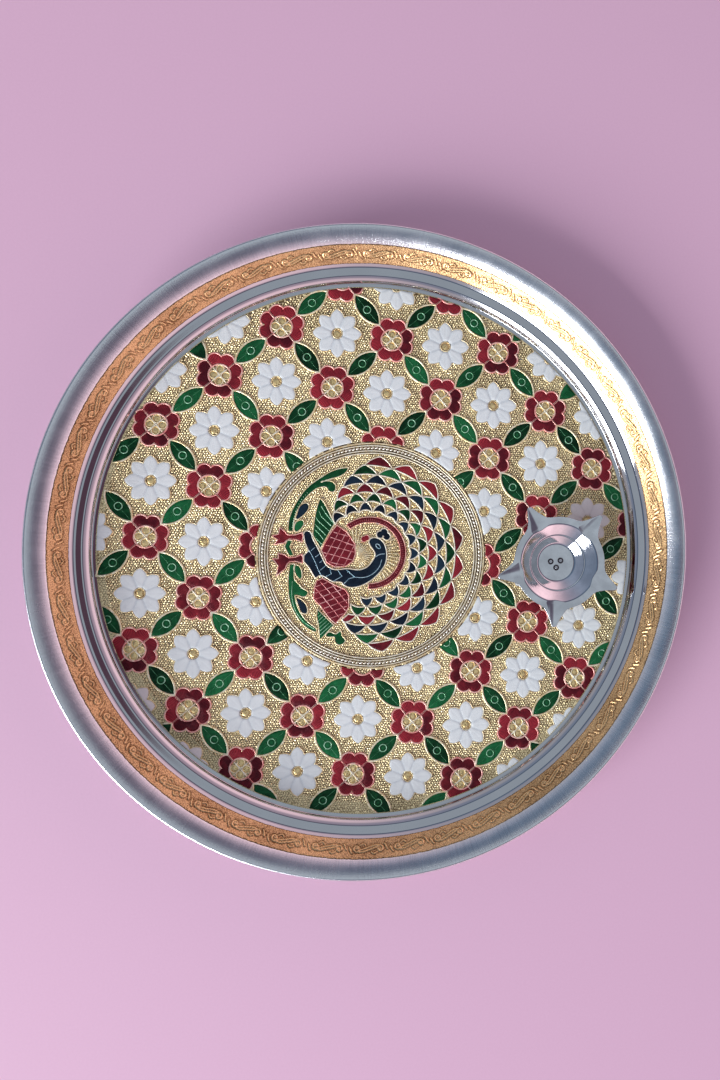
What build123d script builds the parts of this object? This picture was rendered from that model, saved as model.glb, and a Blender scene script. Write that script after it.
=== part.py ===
"""Steel puja thali with an enamelled gold foil floor, a foil rim band and a welded five-wick diya (mm)."""
import os
from math import asin, cos, degrees, hypot, radians, sin, sqrt, tan

from build123d import *

os.makedirs("parts", exist_ok=True)

# Steel dish
rim_d = 303.5
sheet_t = 0.9
bead_r = 1.3
flange_w = 6.0
wall_angle = 49.0
lip_angle = 24.0
fillet_r = 1.5
ledge_w = 2.8
step_h = 3.5
step_foot_angle = 64.0
step_head_angle = 38.0
floor_margin = 1.65

# Foil strip round the wall
band_w = 9.6
band_t = 0.3
band_margin = 0.2
glue_t = 0.1
strip_w = 1.5

# Foil disc on the floor
foil_t = 0.3
emboss_h = 0.3
enamel_t = 0.4
enamel_edge = 0.5

# Square lattice of flowers and leaves, centred on the medallion
pattern_x = -0.6
pattern_y = -3.0
pattern_angle = 40.0
pitch = 37.4
red_r = 10.4
red_core_r = 5.5
red_gap = 0.7
white_r = 11.8
white_core_r = 2.7
petal_w = 6.8
leaf_w = 7.4
leaf_gap = 0.5
sliver = 2.5

# Peacock medallion
medallion_r = 55.1
ring_r = 16.2
ring_w = 2.2
tail_rows = 6
tail_r = 21.1
tail_step = 4.48
tail_turn = 18.1
tail_start = 82.2

# Five-wick lamp
diya_edge = 37.6
diya_y = -6.8
diya_lip_w = 2.7
diya_mouth_r = 20.0
diya_step_r = 13.9
diya_base_r = 8.7
diya_h = 8.4
diya_t = 0.7
spouts = 5
spout_len = 8.7
spout_w = 10.4
spout_depth = 1.9
spout_start = 48.0
weld_r = 1.1

# Sizes that follow from those above
rim_r = rim_d / 2
wall_a = radians(wall_angle)
lip_a = radians(lip_angle)
step_foot_a = radians(step_foot_angle)
step_head_a = radians(step_head_angle)
wall_len = strip_w + band_w + band_margin
flange_r = flange_w / (sin(wall_a) - sin(lip_a))
bead_c_r = rim_r - bead_r
lip_r = bead_c_r - bead_r * sin(lip_a)
wall_top_r = lip_r - flange_w
wall_foot_r = wall_top_r - wall_len * cos(wall_a)
ledge_out_r = wall_foot_r - fillet_r * sin(wall_a)
ledge_in_r = ledge_out_r - ledge_w
ledge_z = sheet_t + step_h
step_r = step_h / (cos(step_head_a) - cos(step_foot_a))
floor_r = ledge_in_r - step_r * (sin(step_foot_a) - sin(step_head_a))
wall_foot_z = ledge_z + fillet_r * (1 - cos(wall_a))
wall_top_z = wall_foot_z + wall_len * sin(wall_a)
lip_z = wall_top_z + flange_r * (cos(lip_a) - cos(wall_a))
bead_c_z = lip_z - bead_r * cos(lip_a)
foil_r = floor_r - floor_margin
diya_x = foil_r - diya_edge
diya_flange_r = diya_mouth_r + diya_lip_w
spout_tip_r = diya_flange_r + spout_len
foil_z = sheet_t + foil_t
scale = medallion_r / 55.1
foil_plane = Plane.XY.offset(foil_z)
medal_plane = Plane(origin=(pattern_x, pattern_y, foil_z))
diya_plane = Plane(origin=(diya_x, diya_y, foil_z), x_dir=(1, 0, 0), z_dir=(0, -1, 0))
diya_axis = Axis((diya_x, diya_y, 0), (0, 0, 1))


def under(point, slope):
    """Point on the underside of the sheet below a point of its upper face."""
    return (point[0] + sheet_t * sin(slope), point[1] - sheet_t * cos(slope))


def arc_point(start, radius, slope_from, slope_to, hollow):
    """Point on a bend that begins at start with one slope and has turned to another."""
    side = 1 if hollow else -1
    return (
        start[0] + side * radius * (sin(slope_to) - sin(slope_from)),
        start[1] + side * radius * (cos(slope_from) - cos(slope_to)),
    )


def motif_places(shift_u, shift_v, reach, turn):
    """Places of one motif of the lattice that touch the floor outside the medallion."""
    a = radians(pattern_angle)
    count = int(2 * foil_r / pitch) + 2
    places = []
    for i in range(-count, count + 1):
        for j in range(-count, count + 1):
            u = (i + shift_u) * pitch
            v = (j + shift_v) * pitch
            x = pattern_x + u * cos(a) - v * sin(a)
            y = pattern_y + u * sin(a) + v * cos(a)
            outside = hypot(x - pattern_x, y - pattern_y) > medallion_r - 0.5 * reach
            if outside and hypot(x, y) < foil_r + 0.6 * reach:
                places.append(Location((x, y, 0), (0, 0, pattern_angle + turn)))
    return places


def grown(points):
    """Points of the medallion drawing at its real size."""
    return [(scale * x, scale * y) for x, y in points]


def polar(radius, angle):
    """Point of the tail fan, measured from the middle of the medallion."""
    return (scale * (-2.9 + radius * cos(radians(angle))), scale * (0.7 + radius * sin(radians(angle))))


def clip_to_floor():
    """Trim motifs at the foil's edge, at the medallion and round the lamp's foot."""
    Circle(foil_r - enamel_edge, mode=Mode.INTERSECT)
    with Locations((pattern_x, pattern_y)):
        Circle(medallion_r + enamel_edge, mode=Mode.SUBTRACT)
    with Locations((diya_x, diya_y)):
        Circle(diya_base_r + 2 * enamel_edge, mode=Mode.SUBTRACT)


red_places = motif_places(0, 0, red_r, 0)
white_places = motif_places(0.5, 0.5, white_r, 0)
leaf_len = pitch - 2 * (red_r - leaf_gap)
leaf_places = motif_places(0.5, 0, leaf_len / 2, 0) + motif_places(0, 0.5, leaf_len / 2, 90)
weld_spots = [
    (diya_x + 0.3 * diya_base_r * cos(radians(a)), diya_y + 0.3 * diya_base_r * sin(radians(a)))
    for a in (170, 20, 275)
]

# Dish pressed from one sheet, with a step round its floor and a rolled edge
flange_start = (wall_top_r, wall_top_z)
flange_mid = arc_point(flange_start, flange_r, wall_a, (wall_a + lip_a) / 2, False)
flange_end = (lip_r, lip_z)
fillet_start = (ledge_out_r, ledge_z)
fillet_mid = arc_point(fillet_start, fillet_r, 0, wall_a / 2, True)
fillet_end = (wall_foot_r, wall_foot_z)
step_foot = (floor_r, sheet_t)
step_mid_a = (step_foot_a + step_head_a) / 2
step_mid = arc_point(step_foot, step_r, step_foot_a, step_mid_a, False)
step_head = (ledge_in_r, ledge_z)
under_foot = (floor_r + sheet_t * tan(step_foot_a / 2), 0)
under_head = (ledge_in_r + sheet_t * tan(step_head_a / 2), step_h)
bead_back = sqrt(bead_r ** 2 - (bead_r - sheet_t) ** 2)
bead_join = under(flange_end, lip_a)
bead_join = (bead_join[0] - bead_back * cos(lip_a), bead_join[1] - bead_back * sin(lip_a))
bead_far = (bead_c_r + bead_r * cos(lip_a), bead_c_z - bead_r * sin(lip_a))
with BuildPart() as thali_plate:
    with BuildSketch(Plane.XZ):
        with BuildLine():
            Line((0, sheet_t), step_foot)
            ThreePointArc(step_foot, step_mid, step_head)
            Line(step_head, fillet_start)
            ThreePointArc(fillet_start, fillet_mid, fillet_end)
            Line(fillet_end, flange_start)
            ThreePointArc(flange_start, flange_mid, flange_end)
            ThreePointArc(flange_end, bead_far, bead_join)
            ThreePointArc(bead_join, under(flange_mid, (wall_a + lip_a) / 2), under(flange_start, wall_a))
            Line(under(flange_start, wall_a), under(fillet_end, wall_a))
            ThreePointArc(under(fillet_end, wall_a), under(fillet_mid, wall_a / 2), (ledge_out_r, step_h))
            Line((ledge_out_r, step_h), under_head)
            ThreePointArc(under_head, under(step_mid, step_mid_a), under_foot)
            Line(under_foot, (0, 0))
            Line((0, 0), (0, sheet_t))
        make_face()
    revolve(axis=Axis.Z)

# Embossed foil strip glued to the sloping wall
band_foot = (
    wall_foot_r + strip_w * cos(wall_a) - glue_t * sin(wall_a),
    wall_foot_z + strip_w * sin(wall_a) + glue_t * cos(wall_a),
)
band_head = (band_foot[0] + band_w * cos(wall_a), band_foot[1] + band_w * sin(wall_a))
with BuildPart() as rim_band:
    with BuildSketch(Plane.XZ):
        with BuildLine():
            Polyline(
                band_foot,
                band_head,
                (band_head[0] - band_t * sin(wall_a), band_head[1] + band_t * cos(wall_a)),
                (band_foot[0] - band_t * sin(wall_a), band_foot[1] + band_t * cos(wall_a)),
                close=True,
            )
        make_face()
    revolve(axis=Axis.Z)

# Foil disc with the medallion's raised border and the gold flower hearts
with BuildPart() as floor_foil:
    with BuildSketch(Plane.XY.offset(sheet_t)):
        Circle(foil_r)
        with Locations(*weld_spots):
            Circle(weld_r, mode=Mode.SUBTRACT)
    extrude(amount=foil_t)
    with BuildSketch(foil_plane):
        with Locations((pattern_x, pattern_y)):
            Circle(medallion_r)
            Circle(medallion_r - 0.9 * scale, mode=Mode.SUBTRACT)
            Circle(medallion_r - 1.3 * scale)
            Circle(medallion_r - 2.7 * scale, mode=Mode.SUBTRACT)
            Circle(medallion_r - 3.2 * scale)
            Circle(medallion_r - 3.9 * scale, mode=Mode.SUBTRACT)
            Circle(medallion_r - 4.7 * scale)
            Circle(medallion_r - 5.3 * scale, mode=Mode.SUBTRACT)
    extrude(amount=emboss_h)
    with BuildSketch(foil_plane):
        with Locations(*red_places):
            Circle(red_core_r - enamel_edge)
        with Locations(*white_places):
            Circle(white_core_r - enamel_edge)
        clip_to_floor()
    extrude(amount=emboss_h)

# Red flowers of four two-lobed petals
lobe_r = 0.31 * red_r
with BuildPart() as red_flowers:
    with BuildSketch(foil_plane) as red_sketch:
        with Locations(*red_places):
            Circle(0.8 * red_r)
            with PolarLocations(red_r - lobe_r, 8, 22.5):
                Circle(lobe_r)
            Circle(red_core_r, mode=Mode.SUBTRACT)
            Rectangle(2.2 * red_r, red_gap, mode=Mode.SUBTRACT)
            Rectangle(red_gap, 2.2 * red_r, mode=Mode.SUBTRACT)
        clip_to_floor()
    extrude([f for f in red_sketch.sketch.faces() if f.area > sliver], amount=enamel_t)

# White flowers of eight pointed petals
with BuildSketch() as petal:
    with BuildLine():
        ThreePointArc((0.6 * white_core_r, 0), (0.58 * white_r, petal_w / 2), (white_r, 0))
        ThreePointArc((white_r, 0), (0.58 * white_r, -petal_w / 2), (0.6 * white_core_r, 0))
    make_face()
with BuildPart() as white_flowers:
    with BuildSketch(foil_plane) as white_sketch:
        with Locations(*white_places):
            Circle(0.5 * white_r)
            with PolarLocations(0, 8, 5):
                add(petal.sketch)
            Circle(white_core_r, mode=Mode.SUBTRACT)
        clip_to_floor()
    extrude([f for f in white_sketch.sketch.faces() if f.area > sliver], amount=enamel_t)

# Green leaves between the red flowers
with BuildSketch() as leaf:
    with BuildLine():
        ThreePointArc((-leaf_len / 2, 0), (0, leaf_w / 2), (leaf_len / 2, 0))
        ThreePointArc((leaf_len / 2, 0), (0, -leaf_w / 2), (-leaf_len / 2, 0))
    make_face()
with BuildPart() as green_leaves:
    with BuildSketch(foil_plane) as leaf_sketch:
        with Locations(*leaf_places):
            add(leaf.sketch)
        clip_to_floor()
    extrude([f for f in leaf_sketch.sketch.faces() if f.area > sliver], amount=enamel_t)

# Peacock lying with its head to the right of the dish
with BuildPart() as peacock_body:
    with BuildSketch(medal_plane):
        with BuildLine():
            Spline(*grown([
                (-32.6, 10.2), (-31.5, 11.8), (-29.8, 11.2), (-29.1, 9.2), (-27.3, 5.4), (-25.6, 2.0),
                (-24.0, -1.6), (-21.4, -5.4), (-17.9, -6.9), (-12.0, -6.5), (-6.9, -7.1), (-2.6, -5.7),
                (0.5, -2.2), (1.5, 0.5), (0.6, 2.8), (-1.1, 5.3), (-1.4, 7.2), (0.0, 8.4), (2.3, 8.3),
                (4.8, 6.6), (6.2, 3.5), (6.6, -0.6), (6.0, -3.8), (4.6, -6.4), (1.8, -9.6), (-2.1, -12.6),
                (-6.9, -14.7), (-11.3, -15.0), (-13.8, -13.8),
            ]))
            Spline(*grown([
                (-13.8, -13.8), (-15.0, -12.6), (-18.2, -12.3), (-21.8, -10.5), (-24.4, -9.2),
                (-27.0, -10.5),
            ]))
            Spline(*grown([
                (-27.0, -10.5), (-28.3, -8.6), (-29.7, -6.0), (-31.2, -4.1), (-32.6, -2.6),
            ]))
            Polyline(*grown([(-32.6, -2.6), (-32.5, 0.1), (-30.2, 2.3), (-32.0, 6.6), (-32.6, 10.2)]))
        make_face()
    extrude(amount=enamel_t)

with BuildPart() as peacock_crest:
    with BuildSketch(medal_plane):
        with Locations(*grown([(3.7, 10.2), (5.6, 11.4), (6.8, 9.3)])):
            Circle(1.6 * scale)
    extrude(amount=enamel_t)

with BuildPart() as peacock_beak:
    with BuildSketch(medal_plane):
        with Locations(*grown([(-4.1, 8.1), (-2.9, 8.6)])):
            Circle(1.2 * scale)
    extrude(amount=enamel_t)

with BuildPart() as peacock_legs:
    with BuildSketch(medal_plane):
        with BuildLine():
            Polyline(
                *grown([
                    (-33.7, 10.9), (-33.4, 9.1), (-33.9, 7.0), (-36.7, 8.2), (-39.6, 8.4), (-41.0, 7.6),
                    (-42.2, 6.4), (-46.1, 5.7), (-44.6, 7.8), (-47.2, 9.5), (-44.4, 10.2), (-43.9, 13.3),
                    (-41.8, 11.4), (-41.0, 10.2), (-39.6, 9.7), (-36.7, 9.9),
                ]),
                close=True,
            )
        make_face()
        with BuildLine():
            Polyline(
                *grown([
                    (-33.7, 0.5), (-33.4, -1.2), (-33.8, -3.1), (-36.7, -2.3), (-39.6, -2.5), (-40.8, -3.8),
                    (-41.7, -6.0), (-45.4, -9.2), (-44.4, -4.9), (-46.8, -1.6), (-44.3, -1.5), (-44.6, 1.0),
                    (-41.7, 0.3), (-40.8, -0.6), (-39.6, -1.1), (-36.7, -0.8),
                ]),
                close=True,
            )
        make_face()
    extrude(amount=enamel_t)

# Wings: red coverts above and below the body, green flight feathers behind them
lower_covert = [
    (-26.5, -12.3), (-23.9, -11.1), (-18.6, -14.1), (-13.3, -16.6), (-11.6, -19.3), (-11.7, -25.0),
    (-13.2, -27.6), (-17.8, -32.4), (-20.2, -30.2), (-25.1, -23.4), (-27.8, -20.6), (-27.5, -15.6),
]
with BuildPart() as peacock_wings:
    with BuildSketch(medal_plane):
        with BuildLine():
            Polyline(
                *grown([
                    (-17.1, 14.5), (-12.5, 11.2), (-8.6, 5.4), (-8.5, 0.6), (-9.7, -2.6), (-13.1, -4.9),
                    (-17.9, -5.2), (-21.7, -3.1), (-24.2, 2.7), (-22.3, 6.4), (-19.9, 10.8),
                ]),
                close=True,
            )
        make_face()
        with BuildLine():
            Polyline(*grown(lower_covert), close=True)
        make_face()
    extrude(amount=enamel_t)

with BuildPart() as peacock_wing_feathers:
    with BuildSketch(medal_plane):
        with BuildLine():
            Spline(*grown([(-25.0, 27.3), (-22.6, 24.0), (-21.0, 20.6), (-18.3, 15.8)]))
            Polyline(*grown([(-18.3, 15.8), (-20.6, 12.0), (-24.9, 4.1), (-28.3, 10.1)]))
            Spline(*grown([(-28.3, 10.1), (-27.9, 14.3), (-26.9, 20.9), (-25.0, 27.3)]))
        make_face()
        with BuildLine():
            Polyline(
                *grown([(-26.1, -26.1), (-18.8, -33.5), (-25.0, -40.1), (-25.4, -33.8), (-26.4, -29.0)]),
                close=True,
            )
        make_face()
    extrude(amount=enamel_t)

# Red ring that frames the neck
ring_c = grown([(-1.4, 1.3)])[0]
ring_in = scale * (ring_r - ring_w / 2)
ring_out = scale * (ring_r + ring_w / 2)
with BuildPart() as neck_ring:
    with BuildSketch(medal_plane):
        with BuildLine():
            outer = CenterArc(ring_c, ring_out, -91, 219)
            inner = CenterArc(ring_c, ring_in, -91, 219)
            Line(outer @ 0, inner @ 0)
            Line(outer @ 1, inner @ 1)
        make_face()
    extrude(amount=enamel_t)


def tail_marks(row):
    """Feather marks of one row of the fan; the lower wing covers the ends of the inner rows."""
    first = tail_start + 0.5 * tail_turn * (tail_rows - 1 - row)
    count = min(13, 10 + tail_rows - 1 - row)
    foot = tail_r + tail_step * row
    tip = foot + 0.93 * tail_step
    half = degrees(asin(min(0.5, 0.6 / foot)))
    with BuildSketch() as marks:
        for j in range(count):
            mid = first - j * tail_turn
            left = polar(foot, mid + 0.5 * tail_turn - half)
            right = polar(foot, mid - 0.5 * tail_turn + half)
            point = polar(tip, mid)
            bulge = foot + 0.54 * tail_step
            left_bulge = polar(bulge, mid + 0.25 * tail_turn)
            right_bulge = polar(bulge, mid - 0.25 * tail_turn)
            hollow = polar(foot + (0.16 - 0.03 * row) * tail_step, mid)
            with BuildLine():
                ThreePointArc(left, left_bulge, point)
                ThreePointArc(point, right_bulge, right)
                ThreePointArc(right, hollow, left)
            make_face()
        with BuildLine():
            Polyline(*grown([(-11.0, -17.0), (-11.0, -28.0), (-17.6, -34.0), (-30.0, -20.0)]), close=True)
        make_face(mode=Mode.SUBTRACT)
    return marks.sketch


with BuildPart() as tail_row_1:
    with BuildSketch(medal_plane):
        add(tail_marks(0))
    extrude(amount=enamel_t)
with BuildPart() as tail_row_2:
    with BuildSketch(medal_plane):
        add(tail_marks(1))
    extrude(amount=enamel_t)
with BuildPart() as tail_row_3:
    with BuildSketch(medal_plane):
        add(tail_marks(2))
    extrude(amount=enamel_t)
with BuildPart() as tail_row_4:
    with BuildSketch(medal_plane):
        add(tail_marks(3))
    extrude(amount=enamel_t)
with BuildPart() as tail_row_5:
    with BuildSketch(medal_plane):
        add(tail_marks(4))
    extrude(amount=enamel_t)
with BuildPart() as tail_row_6:
    with BuildSketch(medal_plane):
        add(tail_marks(5))
    extrude(amount=enamel_t)

# Flowering branch behind the feet
with BuildPart() as branch:
    with BuildSketch(medal_plane):
        with BuildLine():
            Spline(*grown([
                (-39.9, 12.0), (-39.6, 16.8), (-37.8, 22.3), (-34.2, 28.6), (-31.0, 32.7), (-26.3, 36.4),
                (-19.8, 40.5), (-11.9, 42.4),
            ]))
            Spline(*grown([(-11.9, 42.4), (-13.9, 39.8), (-17.2, 38.2), (-21.6, 37.0), (-25.0, 35.4)]))
            Spline(*grown([
                (-25.0, 35.4), (-21.9, 35.9), (-19.0, 35.2), (-17.9, 32.9), (-18.9, 31.1), (-20.7, 31.4),
                (-21.9, 33.1), (-24.6, 33.4), (-27.6, 32.2),
            ]))
            Spline(*grown([
                (-27.6, 32.2), (-31.3, 28.9), (-34.2, 25.2), (-36.4, 21.2), (-37.5, 17.6), (-38.1, 12.0),
            ]))
            Line(*grown([(-38.1, 12.0), (-39.9, 12.0)]))
        make_face()
        with BuildLine():
            Polyline(
                *grown([
                    (-41.6, 4.5), (-40.3, 7.3), (-38.4, 7.1), (-39.5, 4.4), (-37.8, 0.5), (-39.5, 0.3),
                ]),
                close=True,
            )
        make_face()
        with BuildLine():
            Spline(*grown([
                (-39.1, -4.1), (-39.8, -10.9), (-39.7, -17.1), (-38.7, -22.6), (-36.2, -28.2),
                (-33.4, -32.2), (-29.7, -35.2), (-27.0, -36.4),
            ]))
            Line(*grown([(-27.0, -36.4), (-26.9, -35.0)]))
            Spline(*grown([(-26.9, -35.0), (-30.5, -32.3), (-33.9, -28.4), (-36.0, -24.1), (-37.2, -18.6)]))
            Spline(*grown([
                (-37.2, -18.6), (-34.9, -18.9), (-32.0, -19.2), (-31.0, -17.6), (-33.2, -16.0),
                (-34.9, -14.3), (-37.3, -11.6),
            ]))
            Spline(*grown([(-37.3, -11.6), (-37.5, -9.1), (-37.3, -4.1)]))
            Line(*grown([(-37.3, -4.1), (-39.1, -4.1)]))
        make_face()
    extrude(amount=enamel_t)

with BuildPart() as branch_green_leaves:
    with BuildSketch(medal_plane):
        for points in (
            [(-33.2, 16.6), (-34.1, 13.4), (-36.6, 11.9), (-36.8, 15.0), (-35.6, 16.5)],
            [(-36.2, -4.6), (-34.3, -6.4), (-34.4, -10.9), (-36.2, -9.0)],
            [
                (-21.9, -38.0), (-20.4, -36.9), (-17.2, -37.8), (-15.4, -36.6), (-14.7, -38.8),
                (-13.2, -40.9), (-15.9, -42.8), (-17.8, -41.0), (-18.1, -39.0),
            ],
        ):
            with BuildLine():
                Spline(*grown(points), periodic=True)
            make_face()
    extrude(amount=enamel_t)

with BuildPart() as branch_navy_leaves:
    with BuildSketch(medal_plane):
        for points in (
            [(-31.1, 24.9), (-32.6, 20.2), (-36.3, 17.9), (-35.5, 21.1), (-33.8, 24.5)],
            [
                (-35.6, -20.2), (-32.9, -22.1), (-31.2, -25.3), (-31.6, -27.4), (-33.1, -27.3),
                (-34.9, -24.1),
            ],
        ):
            with BuildLine():
                Spline(*grown(points), periodic=True)
            make_face()
    extrude(amount=enamel_t)

# Lamp: a stepped bowl with a flat rim and five folded wick spouts
mouth_z = diya_h
step_z = 0.38 * diya_h
bowl_in = [
    (0, diya_t),
    (diya_base_r, diya_t),
    (diya_step_r - 0.3, step_z),
    (diya_step_r + 0.3, step_z + 0.08 * diya_h),
    (diya_mouth_r, mouth_z),
]
wall_mid_in = (0.42 * diya_step_r + 0.58 * diya_mouth_r + 0.5, 0.52 * step_z + 0.48 * mouth_z)
wall_mid_out = (wall_mid_in[0] + 0.75 * diya_t, wall_mid_in[1] - 0.75 * diya_t)


def spout_plane(number, radius):
    """Plane across one spout at a distance from the lamp's axis, level with the lamp's rim."""
    a = radians(spout_start + 360.0 / spouts * number)
    return Plane(
        origin=(diya_x + radius * cos(a), diya_y + radius * sin(a), foil_z + mouth_z),
        x_dir=(-sin(a), cos(a), 0),
        z_dir=(cos(a), sin(a), 0),
    )


def spout_base(number):
    """Plane of the lamp's rim with its first axis along one spout."""
    a = radians(spout_start + 360.0 / spouts * number)
    return Plane(
        origin=(diya_x, diya_y, foil_z + mouth_z),
        x_dir=(cos(a), sin(a), 0),
        z_dir=(0, 0, 1),
    )


web_turn = radians(20.0)
web_r = 0.5 * (diya_mouth_r + diya_flange_r)
web_foot = (web_r * cos(web_turn), web_r * sin(web_turn))
web_head = (0.48 * diya_flange_r + 0.52 * spout_tip_r, 0.25 * spout_w)
web_mid = (0.62 * web_foot[0] + 0.38 * web_head[0], 0.48 * web_foot[1] + 0.52 * web_head[1])
with BuildPart() as diya_bowl:
    with BuildSketch(diya_plane):
        with BuildLine():
            Polyline(*bowl_in[:4])
            ThreePointArc(bowl_in[3], wall_mid_in, bowl_in[4])
            Line(bowl_in[4], (diya_flange_r, mouth_z))
            Line((diya_flange_r, mouth_z), (diya_flange_r, mouth_z - diya_t))
            Line((diya_flange_r, mouth_z - diya_t), (diya_mouth_r + diya_t, mouth_z - diya_t))
            ThreePointArc(
                (diya_mouth_r + diya_t, mouth_z - diya_t),
                wall_mid_out,
                (bowl_in[3][0] + 0.5 * diya_t, bowl_in[3][1] - diya_t),
            )
            Polyline(
                (bowl_in[3][0] + 0.5 * diya_t, bowl_in[3][1] - diya_t),
                (bowl_in[2][0] + 0.5 * diya_t, bowl_in[2][1] - diya_t),
                (diya_base_r + 0.3 * diya_t, 0),
                (0, 0),
                (0, diya_t),
            )
        make_face()
    revolve(axis=diya_axis)
    for n in range(spouts):
        with BuildSketch(spout_base(n)):
            with BuildLine():
                Line((web_foot[0], 0), web_foot)
                ThreePointArc(web_foot, web_mid, web_head)
                Line(web_head, (web_head[0], 0))
                Line((web_head[0], 0), (web_foot[0], 0))
            make_face()
            mirror(about=Plane.XZ)
        extrude(amount=-diya_t)
    for n in range(spouts):
        for reach, half, sink, lift in (
            (diya_mouth_r - 0.8, spout_w / 2, spout_depth, 0.0),
            (spout_tip_r, 0.08 * spout_w, 0.1 * spout_depth, 0.8),
        ):
            with BuildSketch(spout_plane(n, reach)):
                with BuildLine():
                    Polyline(
                        (-half, lift),
                        (0, lift - sink),
                        (half, lift),
                        (half, spout_depth + 2),
                        (-half, spout_depth + 2),
                        close=True,
                    )
                make_face()
        loft(ruled=True, mode=Mode.SUBTRACT)
    for n in range(spouts):
        for reach, half, sink, lift in (
            (diya_mouth_r - 0.4, spout_w / 2, spout_depth, 0.0),
            (spout_tip_r, 0.08 * spout_w, 0.1 * spout_depth, 0.8),
        ):
            with BuildSketch(spout_plane(n, reach)):
                with BuildLine():
                    Polyline(
                        (-half, lift),
                        (0, lift - sink),
                        (half, lift),
                        (half, lift - diya_t),
                        (0, lift - sink - diya_t),
                        (-half, lift - diya_t),
                        close=True,
                    )
                make_face()
        loft(ruled=True)
    with BuildSketch(Plane.XY.offset(foil_z)):
        with Locations(*weld_spots):
            Circle(weld_r)
    extrude(amount=2 * diya_t, mode=Mode.SUBTRACT)

# Spot welds that hold the lamp to the dish through the foil
with BuildPart() as spot_welds:
    with BuildSketch(Plane.XY.offset(sheet_t)):
        with Locations(*weld_spots):
            Circle(weld_r)
    extrude(amount=foil_t + diya_t)

pieces = {
    "thali_plate": thali_plate,
    "rim_band": rim_band,
    "floor_foil": floor_foil,
    "red_flowers": red_flowers,
    "white_flowers": white_flowers,
    "green_leaves": green_leaves,
    "peacock_body": peacock_body,
    "peacock_crest": peacock_crest,
    "peacock_beak": peacock_beak,
    "peacock_legs": peacock_legs,
    "peacock_wings": peacock_wings,
    "peacock_wing_feathers": peacock_wing_feathers,
    "neck_ring": neck_ring,
    "tail_row_1": tail_row_1,
    "tail_row_2": tail_row_2,
    "tail_row_3": tail_row_3,
    "tail_row_4": tail_row_4,
    "tail_row_5": tail_row_5,
    "tail_row_6": tail_row_6,
    "branch": branch,
    "branch_green_leaves": branch_green_leaves,
    "branch_navy_leaves": branch_navy_leaves,
    "diya_bowl": diya_bowl,
    "spot_welds": spot_welds,
}
for name, piece in pieces.items():
    piece.part.label = name
    export_step(piece.part, f"parts/{name}.step")
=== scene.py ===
"""Puja thali: steel dish, embossed gold foil with enamelled flowers and a peacock, five-wick lamp."""
from functools import cache
from math import cos, hypot, pi, radians, sin

import bpy
import numpy as np
from mathutils import Matrix, Vector
from mathutils.geometry import delaunay_2d_cdt


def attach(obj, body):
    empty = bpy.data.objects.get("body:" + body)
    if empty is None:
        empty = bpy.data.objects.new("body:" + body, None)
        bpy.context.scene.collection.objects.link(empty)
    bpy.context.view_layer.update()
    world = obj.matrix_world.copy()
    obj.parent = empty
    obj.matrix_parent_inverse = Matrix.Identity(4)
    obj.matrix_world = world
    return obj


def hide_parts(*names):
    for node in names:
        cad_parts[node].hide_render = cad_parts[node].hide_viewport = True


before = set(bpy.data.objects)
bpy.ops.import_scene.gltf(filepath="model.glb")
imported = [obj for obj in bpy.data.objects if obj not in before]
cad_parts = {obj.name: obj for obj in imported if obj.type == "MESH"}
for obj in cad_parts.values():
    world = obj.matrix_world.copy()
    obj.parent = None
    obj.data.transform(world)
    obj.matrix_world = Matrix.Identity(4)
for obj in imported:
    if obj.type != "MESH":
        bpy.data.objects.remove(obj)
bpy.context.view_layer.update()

scene = bpy.context.scene
MM = 0.001

# Sizes shared with the CAD model, in millimetres
SHEET_T = 0.9
FOIL_Z = 1.2
FOIL_R = 128.09
FLOOR_R = 129.741
LEDGE_IN_R = 132.576
LEDGE_OUT_R = 135.376
LEDGE_Z = 4.4
STEP_R = 10.01
FILLET_R = 1.5
WALL_FOOT = (136.508, 4.916)
WALL_TOP = (143.921, 13.444)
WALL_A = radians(49)
LIP_A = radians(24)
STEP_FOOT_A = radians(64)
STEP_HEAD_A = radians(38)
LIP = (149.921, 17.884)
BEAD_C = (150.45, 16.696)
BEAD_R = 1.3
STRIP_W = 1.5
BAND_W = 9.6
PATTERN = np.array((-0.6, -3.0))
PATTERN_A = radians(40)
PITCH = 37.4
RED_R = 10.4
RED_CORE_R = 5.5
WHITE_CORE_R = 2.7
WORN_WHITES = ((2, -2), (-4, 0), (-4, -1))
MEDAL_R = 55.1
RING_C = PATTERN + (-1.4, 1.3)
RING_R = 16.2
RING_W = 2.2
FAN = PATTERN + (-2.9, 0.7)
TAIL_ROWS = 6
TAIL_R = 21.1
TAIL_STEP = 4.48
TAIL_TURN = radians(18.1)
TAIL_START = radians(82.2)
DIYA = np.array((90.491, -6.8))
BASE_R = 8.7
DIYA_H = 8.4
DIYA_T = 0.7
EDGE = 0.5
GLUE_T = 0.1
ON_ENAMEL = FOIL_Z + 0.22


# Node helpers


def shader(name):
    """A new material, its node tree and its main shader."""
    mat = bpy.data.materials.new(name)
    mat.use_nodes = True
    return mat, mat.node_tree, mat.node_tree.nodes["Principled BSDF"]


def put(tree, kind, out=0, args=(), **given):
    """Adds a node with its settings and inputs and returns one of its outputs."""
    made = tree.nodes.new(kind)
    for key, value in given.items():
        if key in made.bl_rna.properties:
            setattr(made, key, value)
    sockets = list(enumerate(args)) + [(k, v) for k, v in given.items() if k not in made.bl_rna.properties]
    for key, value in sockets:
        if isinstance(value, bpy.types.NodeSocket):
            tree.links.new(value, made.inputs[key])
        elif value is not None:
            made.inputs[key].default_value = value
    return made.outputs[out]


def math(tree, operation, *args):
    return put(tree, "ShaderNodeMath", operation=operation, args=args)


def times(tree, a, b):
    return math(tree, "MULTIPLY", a, b)


def plus(tree, a, b):
    return math(tree, "ADD", a, b)


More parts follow.
